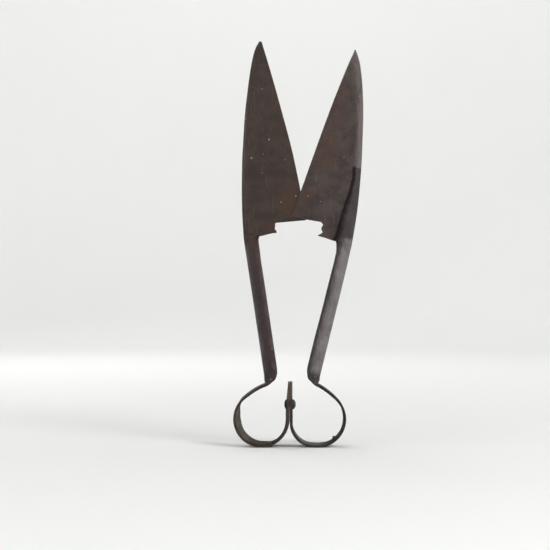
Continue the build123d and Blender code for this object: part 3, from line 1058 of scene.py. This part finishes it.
def old_steel(name, steel, chips=()):
    """Dark, stained forged steel: mottled, pitted, scratched, rusty in places and bare where worn. The bare
    mask also lays on painted highlights, and the soot mask also lays on painted shade.
    """
    n = Nodes(name)
    mottle = n.noise(14, 7, 0.62)
    grain = n.noise(1.6, 5, 0.7)
    speck = n.noise(0.5, 3, 0.6)
    colour = n.mix(n.step(mottle, 0.34, 0.66), steel.dark, steel.mid)
    colour = n.mix(n.step(grain, 0.35, 0.75, 0.0, 0.45), colour, shade(steel.dark, 0.55))

    rust_spread = n.plus(n.mask("rust"), n.swing(mottle, 0.62, 0.9))
    rusty = n.step(n.plus(rust_spread, n.swing(grain, 0.5, 0.6)), 0.05, 0.75)
    rust_colour = n.mix(n.step(speck, 0.3, 0.7), shade(steel.rust, 0.45), steel.rust)
    colour = n.mix(n.times(rusty, 0.75), colour, rust_colour)

    streaks = n.noise(1.1, 6, 0.65, n.stretched(0.12, 12))
    # Bare steel, together with the painted highlights from the bare mask.
    bare_spread = n.plus(n.mask("bare"), n.swing(streaks, 0.5, 0.7))
    bare = n.step(n.minus(bare_spread, n.times(rusty, 0.3)), 0.08, 0.85)
    colour = n.mix(bare, colour, steel.bare)

    # Soot and painted shade from the soot mask.
    soot_and_shade_cover = n.step(n.plus(n.mask("soot"), n.swing(grain, 0.5, 0.5)), 0.1, 0.9)
    colour = n.mix(n.times(soot_and_shade_cover, 0.72), colour, shade(steel.dark, 0.28))

    scratches = scratch_lines(n)
    colour = n.mix(n.times(scratches, 0.28), colour, steel.bare)
    pitted_areas = n.step(n.noise(6, 3, 0.5), 0.5, 0.62)
    pit = n.times(n.step(n.pits(1.5), 0.26, 0.1), pitted_areas)
    colour = n.mix(n.times(pit, 0.6), colour, shade(steel.dark, 0.3))
    fleck = n.times(n.step(n.pits(7.0), 0.075, 0.05), n.step(n.noise(19, 2), 0.5, 0.55))
    colour = n.mix(n.times(fleck, 0.7), colour, FLECK_COLOUR)
    n.feed(n.shader.inputs["Base Color"], chipped(n, colour, speck, chips))

    roughness = n.step(mottle, 0.3, 0.7, steel.rough - 0.07, steel.rough + 0.08)
    roughness = n.minus(roughness, n.times(bare, 0.17))
    roughness = n.plus(roughness, n.times(rusty, 0.16))
    n.feed(n.shader.inputs["Roughness"], n.plus(roughness, n.times(soot_and_shade_cover, 0.1)))
    # Soot and painted shade also take away the shine.
    shine = n.minus(1.0, n.times(soot_and_shade_cover, 0.85))
    metallic = n.plus(n.times(bare, 0.4), steel.metal)
    n.feed(n.shader.inputs["Metallic"], n.times(metallic, shine))
    n.feed(n.shader.inputs["Specular IOR Level"], n.times(shine, steel.gloss))

    hollows = n.bump(n.noise(5.0, 4, 0.55), 0.25, 0.45)
    skin = n.bump(grain, 0.09, 0.55, hollows)
    eaten = n.bump(n.minus(1.0, pit), 0.12, 0.6, skin)
    scored = n.bump(n.minus(1.0, scratches), 0.03, 0.5, eaten)
    n.feed(n.shader.inputs["Normal"], scored)
    return n.material


def pale_paper():
    """Plain matt white ground."""
    n = Nodes("pale_ground")
    n.feed(n.shader.inputs["Base Color"], n.mix(n.noise(400, 3), (0.80, 0.80, 0.785), (0.83, 0.83, 0.82)))
    n.shader.inputs["Roughness"].default_value = 0.9
    n.shader.inputs["Specular IOR Level"].default_value = 0.1
    return n.material


# --- ground, light and camera, in metres ---
def make_ground():
    """Round floor that curves up into a low wall all the way round."""
    flat, bend, wall, around, bend_steps = 1.45, 0.55, 1.7, 96, 12
    outline = [(flat / 40, 0.0), (flat / 3, 0.0), (flat, 0.0)]
    for k in range(1, bend_steps + 1):
        angle = math.radians(90 * k / bend_steps)
        outline.append((flat + bend * math.sin(angle), bend * (1 - math.cos(angle))))
    outline.append((flat + bend, wall))
    shell = Shell()
    rings = []
    for radius, height in outline:
        turns = (2 * math.pi * k / around for k in range(around))
        rings.append([shell.add(Vector((radius * math.cos(t), radius * math.sin(t), height))) for t in turns])
    for ring, next_ring in zip(rings, rings[1:]):
        shell.bridge(ring, next_ring)
    shell.cap(rings[0])
    shell.solid("ground", pale_paper())


def make_lamp(name, place, target, size, power, colour):
    data = bpy.data.lights.new(name, "AREA")
    data.shape = "DISK"
    data.size = size
    data.energy = power
    data.color = colour
    lamp = bpy.data.objects.new(name, data)
    lamp.location = place
    lamp.rotation_euler = (Vector(target) - Vector(place)).to_track_quat("-Z", "Y").to_euler()
    lamp.visible_camera = False
    bpy.context.scene.collection.objects.link(lamp)


def make_light():
    """Soft key, fill and back lamps on the shears, four lamps on the wall, and a pale world."""
    middle, white = (0, 0, 0.17), (1.0, 1.0, 1.0)
    make_lamp("key", (0.85, -0.75, 0.95), middle, 0.55, 8.5, (1.0, 0.985, 0.96))
    make_lamp("fill", (-1.0, -0.8, 0.6), middle, 1.0, 2.5, (0.96, 0.98, 1.0))
    make_lamp("back", (-0.5, 1.0, 0.9), middle, 1.2, 4.0, white)
    for name, x, y in (("north", 0, 1), ("east", 1, 0), ("south", 0, -1), ("west", -1, 0)):
        place, target = (0.9 * x, 0.9 * y, 1.35), (2.0 * x, 2.0 * y, 0.5)
        make_lamp(f"wall_{name}", place, target, 1.0, 6.3, white)
    world = bpy.data.worlds.new("studio")
    world.use_nodes = True
    sky = world.node_tree.nodes["Background"]
    sky.inputs["Color"].default_value = (0.95, 0.97, 1.0, 1)
    sky.inputs["Strength"].default_value = 0.45
    bpy.context.scene.world = world
    bpy.context.scene.view_settings.view_transform = "Standard"


def make_camera():
    """Level view along +Y, a little left of the shears' middle and below their half height."""
    distance, frame_width = 1.14, 0.4623
    data = bpy.data.cameras.new("camera")
    data.sensor_width = 36.0
    data.lens = data.sensor_width * distance / frame_width
    camera = bpy.data.objects.new("camera", data)
    camera.location = (-0.0196, -distance, 0.1439)
    camera.rotation_euler = (math.pi / 2, 0, 0)
    bpy.context.scene.collection.objects.link(camera)
    bpy.context.scene.camera = camera


STEELS = {
    "left_blade": Steel(
        dark=(0.030, 0.0190, 0.0155),
        mid=(0.056, 0.0375, 0.031),
        bare=(0.17, 0.135, 0.12),
        rust=(0.105, 0.048, 0.022),
        rough=0.60,
        metal=0.3,
        gloss=0.4,
    ),
    "right_blade": Steel(
        dark=(0.039, 0.027, 0.024),
        mid=(0.074, 0.055, 0.050),
        bare=(0.20, 0.172, 0.167),
        rust=(0.105, 0.054, 0.032),
        rough=0.60,
        metal=0.3,
        gloss=0.4,
    ),
    "left_grip": Steel(
        dark=(0.026, 0.017, 0.018),
        mid=(0.048, 0.034, 0.035),
        bare=(0.15, 0.130, 0.127),
        rust=(0.100, 0.055, 0.050),
        rough=0.56,
        metal=0.35,
        gloss=0.35,
    ),
    "right_grip": Steel(
        dark=(0.040, 0.030, 0.032),
        mid=(0.070, 0.056, 0.058),
        bare=(0.235, 0.217, 0.222),
        rust=(0.085, 0.050, 0.045),
        rough=0.56,
        metal=0.4,
        gloss=0.4,
    ),
    "left_bow": Steel(
        dark=(0.050, 0.039, 0.031),
        mid=(0.088, 0.068, 0.054),
        bare=(0.170, 0.132, 0.103),
        rust=(0.090, 0.057, 0.038),
        rough=0.70,
        metal=0.15,
        gloss=0.1,
    ),
    "right_bow": Steel(
        dark=(0.036, 0.029, 0.030),
        mid=(0.066, 0.056, 0.057),
        bare=(0.185, 0.168, 0.170),
        rust=(0.075, 0.046, 0.038),
        rough=0.68,
        metal=0.2,
        gloss=0.12,
    ),
    "rivet": Steel(
        dark=(0.030, 0.023, 0.020),
        mid=(0.060, 0.047, 0.041),
        bare=(0.16, 0.145, 0.135),
        rust=(0.075, 0.042, 0.030),
        rough=0.60,
        metal=0.35,
        gloss=0.3,
    ),
}


def make_half(half):
    """Blade, grip and bow of one forging, each in its own steel."""
    chips = [(half.world(u, v, BLADE_GAP + half.chip_depth), radius) for u, v, radius in half.chips]
    blade, grip, bow = (f"{half.name}_{part}" for part in ("blade", "grip", "bow"))
    make_blade(half, old_steel(f"{blade}_steel", STEELS[blade], chips))
    make_grip(half, old_steel(f"{grip}_steel", STEELS[grip]))
    make_bow(half, old_steel(f"{bow}_steel", STEELS[bow]))


make_half(LEFT)
make_half(RIGHT)
make_rivet(old_steel("rivet_steel", STEELS["rivet"]))
make_ground()
make_light()
make_camera()
